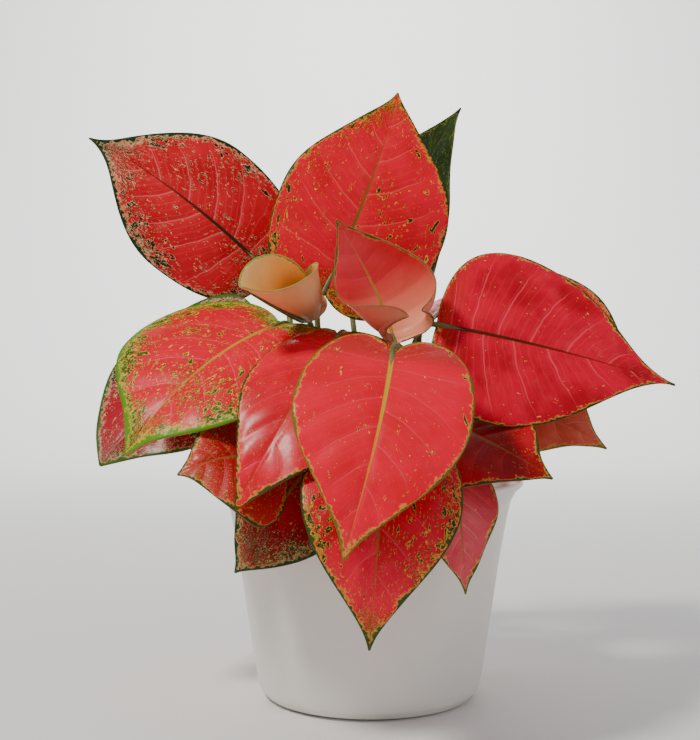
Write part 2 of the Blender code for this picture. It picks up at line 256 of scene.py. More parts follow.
def scatter_crumbs(seed):
    pick = random.Random(seed)
    bpy.ops.object.select_all(action="DESELECT")
    bpy.ops.mesh.primitive_ico_sphere_add(subdivisions=1, radius=1.0)
    crumb = bpy.context.object
    shape = [v.co.copy() for v in crumb.data.vertices]
    faces = [tuple(f.vertices) for f in crumb.data.polygons]
    bpy.data.objects.remove(crumb, do_unlink=True)
    verts, polys = [], []
    for _ in range(CRUMBS):
        r, turn = CRUMB_R * math.sqrt(pick.random()), pick.uniform(0, math.tau)
        size = Vector((pick.uniform(0.5, 1.6), pick.uniform(0.5, 1.2), pick.uniform(0.3, 0.7))) * MM
        spot = Vector((r * math.cos(turn), r * math.sin(turn), SOIL_TOP + 0.3 * MM))
        polys += [tuple(i + len(verts) for i in f) for f in faces]
        for co in shape:
            bumpy = co * (1 + 0.35 * noise.noise(co * 2 + spot * 900))
            verts.append(spot + Vector(a * b for a, b in zip(bumpy, size)))
    mesh = bpy.data.meshes.new("crumbs")
    mesh.from_pydata(verts, [], polys)
    ob = bpy.data.objects.new("crumbs", mesh)
    bpy.context.scene.collection.objects.link(ob)
    return ob


mix = raise_rings("mix_body", SOIL_FOOT, SOIL_START, SOIL_RINGS)
apply_all(mix)
lumpy(mix, SOIL_TOP)
mix = join([mix, scatter_crumbs(7)], "mix")
bpy.ops.object.shade_smooth_by_angle(angle=math.radians(35))
print("crumbs on the mix:", CRUMBS)


def make_soil():
    mat, tree, shader = new_material("moist_potting_mix", 0.92)
    where = add(tree, "TexCoord").outputs["Object"]
    grains = add(tree, "TexVoronoi", {"Vector": where, "Scale": 520.0})
    tint = add(tree, "SeparateColor", {0: grains.outputs["Color"]}).outputs[0]
    damp = cloud(tree, where, 45.0)
    peat = blend(tree, ramp(tree, damp, 0.35, 0.65), linear(74, 55, 42), linear(45, 32, 25))
    bark = blend(tree, ramp(tree, tint, 0.55, 0.8), peat, linear(104, 74, 50))
    pale = blend(tree, ramp(tree, tint, 0.95, 0.97), bark, linear(186, 176, 158))
    tree.links.new(pale, shader.inputs["Base Color"])
    tree.links.new(ramp(tree, damp, 0.3, 0.7, 0.97, 0.8), shader.inputs["Roughness"])
    relief(tree, shader, maths(tree, "SUBTRACT", cloud(tree, where, 700.0, 5.0),
                               grains.outputs["Distance"]), 0.6 * MM)
    return mat


mix.data.materials.append(make_soil())
finish_piece(mix, "potting_mix")

# %% [markdown]
# ## Canes
# A cane is a fleshy upright stem. Each leaf that it lost has left a ring, so
# the stem swells a little at even steps. A bevelled curve with a radius at
# each point draws that directly.

# %% Three canes
CANE_R = 5.5 * MM
RING_PITCH = 9.2 * MM
RING_SWELL = 1.12
CANE_STEPS = 90
CANE_END = 0.7            # the last ring's share of the cane's radius
SOCKET_ROOM = 1.16
GAP = 0.3 * MM
CANES = {
    "left": ((-0.024, -0.004, 0.045), (-0.032, -0.012, 0.166)),
    "front": ((0.014, -0.014, 0.045), (0.013, -0.021, 0.160)),
    "back": ((0.006, 0.026, 0.045), (0.008, 0.032, 0.158)),
}


def sweep(name, path, radii, roundness=4):
    """A closed tube through the points, as thick at each as its radius."""
    curve = bpy.data.curves.new(name, "CURVE")
    curve.dimensions = "3D"
    curve.bevel_depth, curve.bevel_resolution, curve.use_fill_caps = 1.0, roundness, True
    spline = curve.splines.new("POLY")
    spline.points.add(len(path) - 1)
    for point, place, radius in zip(spline.points, path, radii):
        point.co = (*place, 1)
        point.radius = radius
    ob = bpy.data.objects.new(name, curve)
    bpy.context.scene.collection.objects.link(ob)
    select_only(ob)
    bpy.ops.object.convert(target="MESH")
    bpy.ops.object.mode_set(mode="EDIT")
    bpy.ops.mesh.select_all(action="SELECT")
    bpy.ops.mesh.remove_doubles(threshold=1e-6)
    bpy.ops.mesh.normals_make_consistent(inside=False)
    bpy.ops.object.mode_set(mode="OBJECT")
    bpy.ops.object.shade_smooth_by_angle(angle=math.radians(60))
    return ob


def make_skin(name, dark, light, fleck, scar_pitch=0.0):
    """Waxy green-brown skin with pale flecks, and ring scars on a cane."""
    mat, tree, shader = new_material(name, 0.45, coat=0.15, coat_roughness=0.3)
    where = add(tree, "TexCoord").outputs["Object"]
    patch = cloud(tree, where, 120.0)
    spots = add(tree, "TexVoronoi", {"Vector": where, "Scale": 900.0}).outputs["Distance"]
    skin = blend(tree, ramp(tree, patch, 0.35, 0.65), dark, light)
    flecked = blend(tree, maths(tree, "MULTIPLY", ramp(tree, spots, 0.12, 0.3, 1.0, 0.0),
                                ramp(tree, patch, 0.45, 0.6)), skin, fleck)
    height = cloud(tree, where, 500.0)
    if scar_pitch:
        level = maths(tree, "DIVIDE", add(tree, "SeparateXYZ", {0: where}).outputs[2], scar_pitch)
        scar = ramp(tree, maths(tree, "PINGPONG", level, 0.5), 0.0, 0.09, 1.0, 0.0)
        flecked = blend(tree, maths(tree, "MULTIPLY", scar, 0.7), flecked, fleck)
        height = maths(tree, "ADD", height, scar)
    tree.links.new(flecked, shader.inputs["Base Color"])
    relief(tree, shader, height, 0.15 * MM)
    return mat


cane_skin = make_skin("cane_skin", linear(92, 88, 48), linear(120, 112, 66),
                      linear(160, 142, 100), RING_PITCH)
for cane, (foot, top) in CANES.items():
    foot, top = Vector(foot), Vector(top)
    length = (top - foot).length
    shares = [i / CANE_STEPS for i in range(CANE_STEPS + 1)]
    path = [foot.lerp(top, share) for share in shares]
    swell = [math.cos(math.tau * share * length / RING_PITCH) for share in shares]
    radii = [CANE_R * (1 + (RING_SWELL - 1) * max(0.0, s) ** 4) for s in swell]
    radii[-1] = CANE_R * CANE_END
    stem = sweep("cane_" + cane, path, radii, 6)
    stem.data.materials.append(cane_skin)
    finish_piece(stem, "cane_" + cane)

# %% [markdown]
# ## Leaves as a few dimensions
# A leaf is a flat outline laid along a bowed midrib, folded at the midrib and
# curled toward the margin. So each one is set out by the two ends of its
# midrib, its width and the way it faces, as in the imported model, and one
# function bends a flat grid into any of them.

# %% Leaf dimensions
# Each leaf is set out by the base and tip of its midrib; how far the midrib
# bows off the straight line; the way its upper face looks at the base and tip;
# its full width; the left half over the right (skew); the fold at the midrib
# and the further curl out to the margin, in degrees, at base and tip; the
# lobes behind the stalk; where it is widest and how full it is near the tip;
# the cane, height and compass angle that its stalk grows from; and how the
# stalk sets off (out, up, lift) and comes in (reach).
LEAVES = {}


def leaf(name, base, tip, cane, width, bow=(0, 0, 0), face=(0, 0, 1), face_tip=None,
         skew=1.0, fold=(6, 5), curl=(-18, -14), lobe=0.06, widest=0.36, taper=0.16,
         curl_right=None, rolled=0.0, unroll=1.0, out=0.5, up=0.85, lift=0.5, reach=0.35):
    LEAVES[name] = dict(
        base=base, tip=tip, cane=cane, width=width, bow=bow, face=face,
        face_tip=face if face_tip is None else face_tip, skew=skew, fold=fold, curl=curl,
        lobe=lobe, widest=widest, taper=taper,
        curl_right=curl if curl_right is None else curl_right, rolled=rolled,
        unroll=unroll, out=out, up=up, lift=lift, reach=reach)


# --- leaves seen from the front, highest first
leaf("leaf_top", base=(-0.026, 0, 0.224), tip=(0.018, 0.045, 0.347), cane=("left", 0.160, 60),
     width=0.104, bow=(0.006, -0.012, 0.002), face=(0.15, -0.92, 0.35), skew=0.90, taper=0.20)
leaf("leaf_back_green", base=(0.020, 0.060, 0.226), tip=(0.060, 0.090, 0.348),
     cane=("back", 0.152, 80), width=0.066, bow=(-0.012, 0, 0.006), face=(0.70, -0.70, 0.20))
leaf("leaf_upper_left", base=(-0.062, 0.040, 0.242), tip=(-0.166, 0.040, 0.319),
     cane=("left", 0.158, 125), width=0.086, bow=(0, -0.008, 0.008), face=(-0.20, -0.95, 0.25),
     widest=0.40, taper=0.10)
leaf("leaf_right", base=(0.035, -0.041, 0.205), tip=(0.162, -0.036, 0.173),
     cane=("front", 0.154, 12), width=0.102, bow=(0, -0.008, 0.003), face=(-0.10, -0.85, 0.50),
     skew=1.10, lobe=0, widest=0.28, taper=0)
leaf("leaf_right_back", base=(0.064, 0.032, 0.214), tip=(0.160, 0.028, 0.178),
     cane=("back", 0.150, 0), width=0.084, bow=(0, 0, 0.014), face=(0.20, -0.82, 0.52))
leaf("leaf_left", base=(-0.048, -0.026, 0.206), tip=(-0.121, -0.085, 0.139),
     cane=("left", 0.154, 228), width=0.114, bow=(-0.004, -0.014, 0.011),
     face=(-0.35, -0.78, 0.50), skew=0.92, lobe=0.08, widest=0.42, taper=0.24)
leaf("leaf_left_back", base=(-0.063, 0.010, 0.208), tip=(-0.146, -0.025, 0.129),
     cane=("left", 0.150, 150), width=0.100, bow=(-0.008, -0.002, 0),
     face=(-0.40, -0.80, 0.45), taper=0.62, lift=0.35)
leaf("leaf_front_left", base=(-0.016, -0.045, 0.200), tip=(-0.064, -0.118, 0.116),
     cane=("front", 0.146, 228), width=0.062, bow=(0.004, -0.022, 0.010),
     face=(-0.15, -0.82, 0.55), skew=1.35, lobe=0.03, taper=0.36)
leaf("leaf_front", base=(0.010, -0.088, 0.190), tip=(-0.014, -0.140, 0.096),
     cane=("front", 0.150, 300), width=0.084, bow=(0.004, -0.022, 0.008),
     face=(0.05, -0.76, 0.64), lobe=0.14, out=0.90)
leaf("leaf_right_pale", base=(0.052, -0.010, 0.168), tip=(0.126, -0.035, 0.139),
     cane=("back", 0.126, 310), width=0.076, bow=(0, 0, 0.008), face=(0.05, -0.66, 0.75),
     fold=(-4, -4), curl=(15, 5))
leaf("leaf_right_low", base=(0.040, -0.048, 0.154), tip=(0.088, -0.090, 0.128),
     cane=("front", 0.134, 340), width=0.094, bow=(0, -0.010, 0.002), face=(0.30, -0.78, 0.55),
     skew=0.62)
leaf("leaf_left_low", base=(-0.048, -0.084, 0.138), tip=(-0.093, -0.102, 0.131),
     cane=("left", 0.140, 250), width=0.052, bow=(0, -0.006, 0.006), face=(-0.25, -0.82, 0.52),
     skew=1.50, lift=0.90, reach=0.10)
leaf("leaf_low_centre", base=(0.008, -0.085, 0.150), tip=(-0.002, -0.130, 0.054),
     cane=("front", 0.130, 262), width=0.076, bow=(0, -0.026, 0.016), face=(0.10, -0.80, 0.60))
leaf("leaf_low_right_pink", base=(0.040, -0.065, 0.138), tip=(0.046, -0.085, 0.071),
     cane=("front", 0.118, 300), width=0.044, bow=(0, -0.016, 0.006), face=(0.35, -0.85, 0.40))
leaf("leaf_low_left", base=(-0.026, -0.060, 0.138), tip=(-0.068, -0.076, 0.080),
     cane=("left", 0.116, 305), width=0.062, bow=(0, -0.020, 0.004), face=(-0.30, -0.80, 0.50),
     skew=1.20, taper=0.25)
# --- leaves on the far side, which fill the plant out all round
leaf("leaf_rear_upper", base=(-0.012, 0.066, 0.232), tip=(-0.030, 0.125, 0.285),
     cane=("back", 0.154, 125), width=0.078, bow=(0, 0.002, 0.012), face=(-0.10, 0.50, 0.86),
     face_tip=(-0.05, 0.75, 0.65))
leaf("leaf_rear_right_up", base=(0.036, 0.074, 0.210), tip=(0.086, 0.124, 0.226),
     cane=("back", 0.146, 42), width=0.074, bow=(0, 0, 0.016), face=(0.25, 0.45, 0.86),
     face_tip=(0.45, 0.60, 0.66))
leaf("leaf_rear_left", base=(-0.042, 0.060, 0.200), tip=(-0.090, 0.122, 0.158),
     cane=("back", 0.144, 160), width=0.084, bow=(-0.004, 0.004, 0.020),
     face=(-0.25, 0.45, 0.85), face_tip=(-0.45, 0.66, 0.60))
leaf("leaf_rear_centre", base=(0.004, 0.082, 0.192), tip=(0.008, 0.148, 0.118),
     cane=("back", 0.138, 95), width=0.086, bow=(0, 0.016, 0.022), face=(0.02, 0.62, 0.78),
     face_tip=(0.05, 0.90, 0.42))
leaf("leaf_rear_right", base=(0.052, 0.066, 0.176), tip=(0.096, 0.122, 0.118),
     cane=("back", 0.132, 30), width=0.080, bow=(0.006, 0.010, 0.018), face=(0.40, 0.50, 0.76),
     face_tip=(0.60, 0.66, 0.45))
leaf("leaf_rear_low_left", base=(-0.032, 0.074, 0.148), tip=(-0.066, 0.112, 0.072),
     cane=("back", 0.124, 140), width=0.070, bow=(-0.006, 0.016, 0.012),
     face=(-0.40, 0.66, 0.62), face_tip=(-0.50, 0.80, 0.30))
leaf("leaf_rear_low_right", base=(0.030, 0.078, 0.140), tip=(0.048, 0.112, 0.064),
     cane=("back", 0.116, 68), width=0.064, bow=(0.004, 0.016, 0.010),
     face=(0.30, 0.72, 0.60), face_tip=(0.40, 0.85, 0.30))
# --- the young leaf at the top of each front shoot, still rolled up
leaf("young_leaf_small", base=(-0.034, -0.018, 0.208), tip=(-0.064, -0.084, 0.222),
     cane=("left", 0.1663, None), width=0.078, bow=(0.002, 0, -0.002), face=(0.42, 0.36, 0.83),
     rolled=0.004, fold=(0, 0), curl=(250, 0), curl_right=(310, 0), lobe=0, widest=0.38,
     taper=0.30)
leaf("young_leaf_large", base=(0.013, -0.039, 0.195), tip=(-0.018, -0.044, 0.260),
     cane=("front", 0.1603, None), width=0.086, bow=(0.006, 0.010, -0.003),
     face=(0.30, -0.94, 0.10), rolled=0.005, fold=(0, 0), curl=(380, -10),
     curl_right=(225, 55), unroll=0.3, lobe=0, widest=0.20, taper=0.10)

print("leaves set out:", len(LEAVES))

# %% [markdown]
# ## Bending a flat grid into a leaf
# A grid's rows can follow the side veins: they leave the midrib, sweep out and
# turn toward the tip. Laying the rows that way pays twice, because the relief
# between the veins and the painted veins then both follow the mesh.

# %% Midrib, outline and blade
BLADE = 0.7 * MM
STALK_R = 2.1 * MM
RIB_R = 1.5 * MM
RIB_TIP_R = 0.5 * MM
SPLIT = 0.36              # share of the rows below the widest place
MIDRIB_POINTS = 65


def unit(v):
    v = np.asarray(v, float)
    return v / np.maximum(np.linalg.norm(v, axis=-1, keepdims=True), 1e-12)


def bezier(points, t):
    a, b, c, d = (np.asarray(q, float) for q in points)
    t = np.asarray(t, float)[..., None]
    u = 1 - t
    return u**3 * a + 3 * u * u * t * b + 3 * u * t * t * c + t**3 * d


def margin(a, p, foot):
    """Flat outline of one half: x along the midrib, y outward, as shares."""
    low = bezier([(0, foot), (-1.5 * p["lobe"] - 0.01, 0.30), (-0.9 * p["lobe"], 1.0),
                  (p["widest"], 1.0)], np.clip(a / SPLIT, 0, 1))
    high = bezier([(p["widest"], 1.0), (p["widest"] + 0.30, 1.0), (0.80, p["taper"]),
                   (1.0, 0.012)], np.clip((a - SPLIT) / (1 - SPLIT), 0, 1))
    return np.where((a < SPLIT)[..., None], low, high)


def midrib(p):
    """Midrib curve with its running length, direction and face normal."""
    base, tip = np.array(p["base"], float), np.array(p["tip"], float)
    t = np.linspace(0, 1, MIDRIB_POINTS)
    line = bezier([base, base + (tip - base) / 3 + p["bow"],
                   base + 2 * (tip - base) / 3 + p["bow"], tip], t)
    run = np.r_[0, np.cumsum(np.linalg.norm(np.diff(line, axis=0), axis=1))]
    along = unit(np.gradient(line, run, axis=0))
    w = (run / run[-1])[:, None]
    normal = unit(p["face"]) * (1 - w) + unit(p["face_tip"]) * w
    normal = unit(normal - along * (normal * along).sum(1)[:, None])
    return line, run, along, normal


def blade(p, a, v):
    """Points, flat x share and flat y at rows a (0 to 1) and columns v (-1 to 1)."""
    line, run, along, normal = midrib(p)
    side_dir = np.cross(along, normal)
    half, length = p["width"] / 2, run[-1]
    r, side = np.abs(v), np.sign(v)
    xm, ym = margin(a, p, (p["rolled"] or 0.0016) / half).T
    x0 = a**1.7
    cx, cy = x0 + 0.22 * (xm - x0), 0.52 * ym
    x = (1 - r)**2 * x0 + 2 * r * (1 - r) * cx + r * r * xm
    y = (2 * r * (1 - r) * cy + r * r * ym) * np.where(side < 0, half * p["skew"], half)

    def at(table):
        return np.stack([np.interp(np.clip(x * length, 0, length), run, table[:, k])
                         for k in range(3)], -1)
    centre = at(line) + (np.minimum(x, 0) * length)[:, None] * along[0]
    nrm, sid = unit(at(normal)), unit(at(side_dir))
    share = np.clip(x, 0, 1)

    def mixed(pair):
        late = share ** p["unroll"]
        return np.radians(pair[0] * (1 - late) + pair[1] * late)
    reach = half * (ym if p["rolled"] else 1.0)
    fold = mixed(p["fold"])
    turn = np.where(side < 0, mixed(p["curl"]), mixed(p["curl_right"])) / reach
    if p["rolled"]:
        turn = turn * np.clip(0.35 + share / 0.12, 0, 1)
    turn = np.where(np.abs(turn) < 1e-6, 1e-6, turn)
    across = (np.sin(fold + turn * y) - np.sin(fold)) / turn
    rise = (np.cos(fold) - np.cos(fold + turn * y)) / turn
    return centre + sid * (side * across)[:, None] + nrm * rise[:, None], share, y


longest = max(LEAVES, key=lambda name: midrib(LEAVES[name])[1][-1])
print("longest blade:", longest, round(midrib(LEAVES[longest])[1][-1] / MM), "mm")

# %% [markdown]
# ## Relief, stalk and the finished leaf
# Between two side veins a blade puffs up like a quilt, and its margin ripples.
# Those are small shifts along the surface normal. The sheet then gets its
# thickness, and a stalk that runs on under the blade as the raised midrib
# joins it. Distances to the margin and midrib are stored for painting.

# %% Making one leaf
ROWS, COLS = 88, 52
VEINS = 8                 # side veins in each half
QUILT = 0.38 * MM
RIPPLE, RIPPLES = 1.1 * MM, 15
GROOVE, GROOVE_HALF = 0.35 * MM, 1.6 * MM      # the furrow over the midrib
SWELL, SWELL_SCALE = 0.9 * MM, 38
CALM_WHEN_ROLLED = 0.25
STALK_POINTS, RIB_POINTS = 36, 26


def smooth(value, low, high):
    t = np.clip((value - low) / (high - low), 0, 1)
    return t * t * (3 - 2 * t)


def store(mesh, name, values):
    kind, key = ("FLOAT_VECTOR", "vector") if values.ndim == 2 else ("FLOAT", "value")
    data = mesh.attributes.new(name, kind, "POINT").data
    data.foreach_set(key, values.astype(np.float32).ravel())


def vertex_normals(mesh):
    out = np.empty(len(mesh.vertices) * 3, np.float32)
    mesh.vertex_normals.foreach_get("vector", out)
    return out.reshape(-1, 3)


def make_sheet(name, p, seed):
    bpy.ops.object.select_all(action="DESELECT")
    bpy.ops.mesh.primitive_grid_add(x_subdivisions=ROWS, y_subdivisions=COLS, size=2)
    ob = bpy.context.object
    ob.name, mesh = name, ob.data
    flat = np.empty(len(mesh.vertices) * 3, np.float32)
    mesh.vertices.foreach_get("co", flat)
    flat = flat.reshape(-1, 3)
    a, v = (flat[:, 0] + 1) / 2, flat[:, 1].astype(float)
    points, share, y = blade(p, a.astype(float), v)
    mesh.vertices.foreach_set("co", points.astype(np.float32).ravel())
    mesh.update()
    normals = vertex_normals(mesh)
    middle = np.argmin(np.abs(a - 0.5) + np.abs(v))
    if normals[middle] @ midrib(p)[3][MIDRIB_POINTS // 2] < 0:
        mesh.flip_normals()
        normals = -normals

    r = np.abs(v)
    cell = a * VEINS + 0.5 * (v < 0)
    hump = np.sin(np.pi * (cell % 1.0)) - 0.5
    body = smooth(r, 0.04, 0.25) * (1 - smooth(r, 0.75, 1.0)) * (1 - smooth(a, 0.85, 1.0))
    calm = CALM_WHEN_ROLLED if p["rolled"] else 1.0
    lift = QUILT * hump * body
    lift += RIPPLE * r**3 * np.sin(RIPPLES * a + seed + 1.3 * (v < 0)) * (1 - smooth(a, 0.8, 1.0))
    lift -= GROOVE * np.exp(-(y / GROOVE_HALF)**2) * (1 - smooth(a, 0.7, 1.0))
    lift += SWELL * np.array([noise.noise(Vector(q) * SWELL_SCALE) for q in points]) * body
    points = points + normals * (lift * calm)[:, None]
    mesh.vertices.foreach_set("co", points.astype(np.float32).ravel())

    edge = np.flatnonzero((r > 0.999) | (a > 0.999))
    tree = kdtree.KDTree(len(edge))
    for i, k in enumerate(edge):
        tree.insert(points[k], i)
    tree.balance()
    to_margin = np.array([tree.find(q)[2] for q in points])
    store(mesh, "vein_grid", np.stack([a, v, 0 * a], -1))
    store(mesh, "distance", np.stack([to_margin / MM, y / MM, share], -1))
    store(mesh, "upper", np.ones(len(a)))

    thick = ob.modifiers.new("Thickness", "SOLIDIFY")
    thick.thickness, thick.offset = BLADE, 0.0
    count = len(mesh.vertices)
    apply_all(ob)
    upper = np.zeros(len(ob.data.vertices), np.float32)
    upper[:count] = 1.0
    ob.data.attributes["upper"].data.foreach_set("value", upper)
    bpy.ops.object.shade_smooth()
    return ob


def make_stalk(name, p):
    """From the cane to the blade, then under it to near the tip as the midrib."""
    cane, height, angle = p["cane"]
    foot, top = (np.array(q) for q in CANES[cane])
    line, run, along, normal = midrib(p)
    centre = foot + (top - foot) * (height - foot[2]) / (top[2] - foot[2])
    if angle is None:
        start, leave = centre, unit(top - foot)
    else:
        way = np.array([math.cos(math.radians(angle)), math.sin(math.radians(angle)), 0])
        leave = unit(way * p["out"] + np.array([0, 0, p["up"]]))
        start = centre + way * (CANE_R * SOCKET_ROOM + GAP * 2 + STALK_R)
    span = np.linalg.norm(line[0] - start)
    t = np.linspace(0, 1, STALK_POINTS)
    path = bezier([start, start + leave * span * p["lift"],
                   line[0] - along[0] * span * p["reach"], line[0]], t)
    radii = STALK_R + (RIB_R - STALK_R) * t
    radii = radii * (1 + 0.5 * np.exp(-9 * t))
    s = np.linspace(0.02, 0.93, RIB_POINTS)
    rib_r = RIB_R + (RIB_TIP_R - RIB_R) * s
    under = np.stack([np.interp(s * run[-1], run, line[:, k]) for k in range(3)], -1)
    facing = unit(np.stack([np.interp(s * run[-1], run, normal[:, k]) for k in range(3)], -1))
    under = under - facing * (rib_r * 1.02 * smooth(s, 0.0, 0.12))[:, None]
    path = np.concatenate([path[:-1], under])
    return sweep(name, path, np.r_[radii[:-1], rib_r])


# %% [markdown]
# ## Painting a leaf
# A red aglaonema leaf is a picture in layers: a body colour, paler side veins,
# dark flecks with a yellow rim that crowd toward the margin, a thin green
# border, and a midrib that is bright at the stalk and fades toward the tip.
# Every leaf has the same layers in other amounts, so they are one group.

# %% The layers shared by every leaf
LEAF_COLOURS = ["Main", "Deep", "Vein", "Rib", "Halo", "Fleck", "Border", "Foot", "Under"]
LEAF_AMOUNTS = ["Flecks", "Border width", "Vein strength", "Foot reach", "Roughness"]
FLECK_LEVEL, FLECK_SPREAD = 0.735, 0.20        # noise above the level is a fleck
FLECK_RIM, FLECK_CORE = 0.012, 0.024


def stretched(tree, grid, drift, across, out):
    """Coordinates that run along the side veins, so that marks lie along them."""
    flat = add(tree, "CombineXYZ", {0: maths(tree, "MULTIPLY", grid[0], across),
                                    1: maths(tree, "MULTIPLY", grid[1], out)}).outputs[0]
    return add(tree, "VectorMath", {0: drift, 1: (2.2, 2.2, 2.2), 2: flat},
               operation="MULTIPLY_ADD").outputs[0]


def flecks(tree, where, amount):
    """Masks of the pale rims and the dark cores of ragged flecks."""
    grain = add(tree, "TexNoise", {"Vector": where, "Scale": 1.0, "Detail": 2.0,
                                   "Roughness": 0.55}).outputs[0]
    level = maths(tree, "MULTIPLY_ADD", amount, -FLECK_SPREAD, FLECK_LEVEL)
    over = maths(tree, "SUBTRACT", grain, level)
    return (ramp(tree, over, 0.0, FLECK_RIM),
            ramp(tree, over, FLECK_CORE, FLECK_CORE + FLECK_RIM))


def make_leaf_markings():
    tree, given, result = new_group(
        "Leaf markings",
        [(c, "Color") for c in LEAF_COLOURS] + [(a, "Float") for a in LEAF_AMOUNTS],
        [("Colour", "Color"), ("Roughness", "Float"), ("Height", "Float")])
    where = add(tree, "TexCoord").outputs["Object"]
    grid = add(tree, "SeparateXYZ", {0: add(tree, "Attribute", attribute_name="vein_grid")
                                     .outputs["Vector"]}).outputs
    gaps = add(tree, "SeparateXYZ", {0: add(tree, "Attribute", attribute_name="distance")
                                     .outputs["Vector"]}).outputs
    upper = add(tree, "Attribute", attribute_name="upper").outputs["Fac"]
    broad, patch = cloud(tree, where, 34.0), cloud(tree, where, 110.0)
    fine = cloud(tree, where, 520.0, 4.0)

    # side veins lie where the row number, counted in veins, is whole
    row = maths(tree, "MULTIPLY_ADD", grid[0], VEINS,
                maths(tree, "MULTIPLY", maths(tree, "LESS_THAN", grid[1], 0.0), 0.5))
    row = maths(tree, "MULTIPLY_ADD", patch, 0.16, row)
    off_vein = maths(tree, "PINGPONG", maths(tree, "SUBTRACT", row, 0.08), 0.5)
    outward = maths(tree, "ABSOLUTE", grid[1])
    vein = ramp(tree, off_vein, 0.0, ramp(tree, outward, 0.0, 1.0, 0.055, 0.024), 1.0, 0.0)
    vein = maths(tree, "MULTIPLY", vein, ramp(tree, outward, 0.6, 0.98, 1.0, 0.1))
    between = maths(tree, "PINGPONG", maths(tree, "MULTIPLY", row, 4.0), 0.5)
    thin = maths(tree, "MULTIPLY", ramp(tree, between, 0.0, 0.14, 0.22, 0.0),
                 ramp(tree, outward, 0.5, 0.95, 1.0, 0.0))
    vein = maths(tree, "MULTIPLY", maths(tree, "MAXIMUM", vein, thin), given["Vein strength"])
    drawn = add(tree, "CombineXYZ", {0: maths(tree, "MULTIPLY", grid[0], 130.0),
                                     1: maths(tree, "MULTIPLY", grid[1], 7.0)}).outputs[0]
    streak = add(tree, "TexNoise", {"Vector": drawn, "Scale": 1.0, "Detail": 3.0}).outputs[0]

    body = blend(tree, ramp(tree, broad, 0.36, 0.64), given["Main"], given["Deep"])
    body = blend(tree, maths(tree, "MULTIPLY", ramp(tree, streak, 0.42, 0.68), 0.28), body,
                 given["Deep"])
    body = blend(tree, maths(tree, "MULTIPLY", ramp(tree, patch, 0.5, 0.75), 0.14), body,
                 given["Vein"])
    foot = ramp(tree, gaps[2], 0.0, given["Foot reach"], 1.0, 0.0)
    body = blend(tree, foot, body, given["Foot"])
    body = blend(tree, vein, body, given["Vein"])

    # flecks crowd near the margin and gather in patches
    crowd = maths(tree, "MULTIPLY", ramp(tree, gaps[0], 0.0, 18.0, 1.2, 0.55),
                  ramp(tree, broad, 0.38, 0.62, 0.55, 1.15))
    amount = maths(tree, "MULTIPLY", crowd, given["Flecks"])
    drift = add(tree, "TexNoise", {"Vector": where, "Scale": 60.0}).outputs["Color"]
    for across, out in ((30.0, 12.0), (66.0, 30.0)):
        rim, core = flecks(tree, stretched(tree, grid, drift, across, out), amount)
        body = blend(tree, maths(tree, "MULTIPLY", rim, 0.9), body, given["Halo"])
        body = blend(tree, core, body, given["Fleck"])

    ragged = maths(tree, "MULTIPLY", ramp(tree, patch, 0.3, 0.7, 0.4, 1.5),
                   ramp(tree, fine, 0.35, 0.65, 0.6, 1.5))
    wide = maths(tree, "MULTIPLY", given["Border width"], ragged)
    body = blend(tree, ramp(tree, gaps[0], maths(tree, "MULTIPLY", wide, 0.9),
                            maths(tree, "MULTIPLY", wide, 1.7), 0.5, 0.0), body, given["Halo"])
    body = blend(tree, ramp(tree, gaps[0], maths(tree, "MULTIPLY", wide, 0.6), wide, 1.0, 0.0),
                 body, given["Border"])

    rib_off = maths(tree, "ABSOLUTE", gaps[1])
    rib_half = ramp(tree, gaps[2], 0.0, 0.95, 1.5, 0.3)
    rib = ramp(tree, rib_off, maths(tree, "MULTIPLY", rib_half, 0.55), rib_half, 1.0, 0.0)
    body = blend(tree, maths(tree, "MULTIPLY", rib, ramp(tree, gaps[2], 0.3, 0.95, 1.0, 0.3)),
                 body, given["Rib"])
    below = blend(tree, 0.55, body, given["Under"])
    tree.links.new(blend(tree, upper, below, body), result["Colour"])
    tree.links.new(maths(tree, "ADD", given["Roughness"], ramp(tree, fine, 0.3, 0.7, -0.05, 0.07)),
                   result["Roughness"])
    height = maths(tree, "MULTIPLY_ADD", vein, -0.6, ramp(tree, off_vein, 0.0, 0.35))
    height = maths(tree, "MULTIPLY_ADD", streak, 0.18, height)
    height = maths(tree, "MULTIPLY_ADD", fine, 0.08, height)
    tree.links.new(maths(tree, "MULTIPLY_ADD", patch, 0.12, height), result["Height"])
    return tree


leaf_markings = make_leaf_markings()
print("leaf layers, nodes:", len(leaf_markings.nodes))

# %% [markdown]
# ## The look of each leaf
# No two leaves are alike: old ones are deep crimson, fresh ones coral, and one
# is nearly all green. Each look states only how it differs from a plain red.

# %% Looks
LOOKS = {}
PLAIN = {"Main": (220, 0, 54), "Deep": (182, 0, 38), "Vein": (230, 84, 92),
         "Rib": (132, 104, 42), "Halo": (228, 190, 80), "Fleck": (38, 54, 20),
         "Border": (56, 74, 26), "Foot": (190, 40, 40), "Under": (216, 84, 80),
         "Flecks": 0.45, "Border width": 1.2, "Vein strength": 0.5, "Foot reach": 0.12,
         "Roughness": 0.42, "Gloss": 0.14}


def look(name, **changes):
    LOOKS[name] = {**PLAIN, **{k.replace("_", " "): v for k, v in changes.items()}}


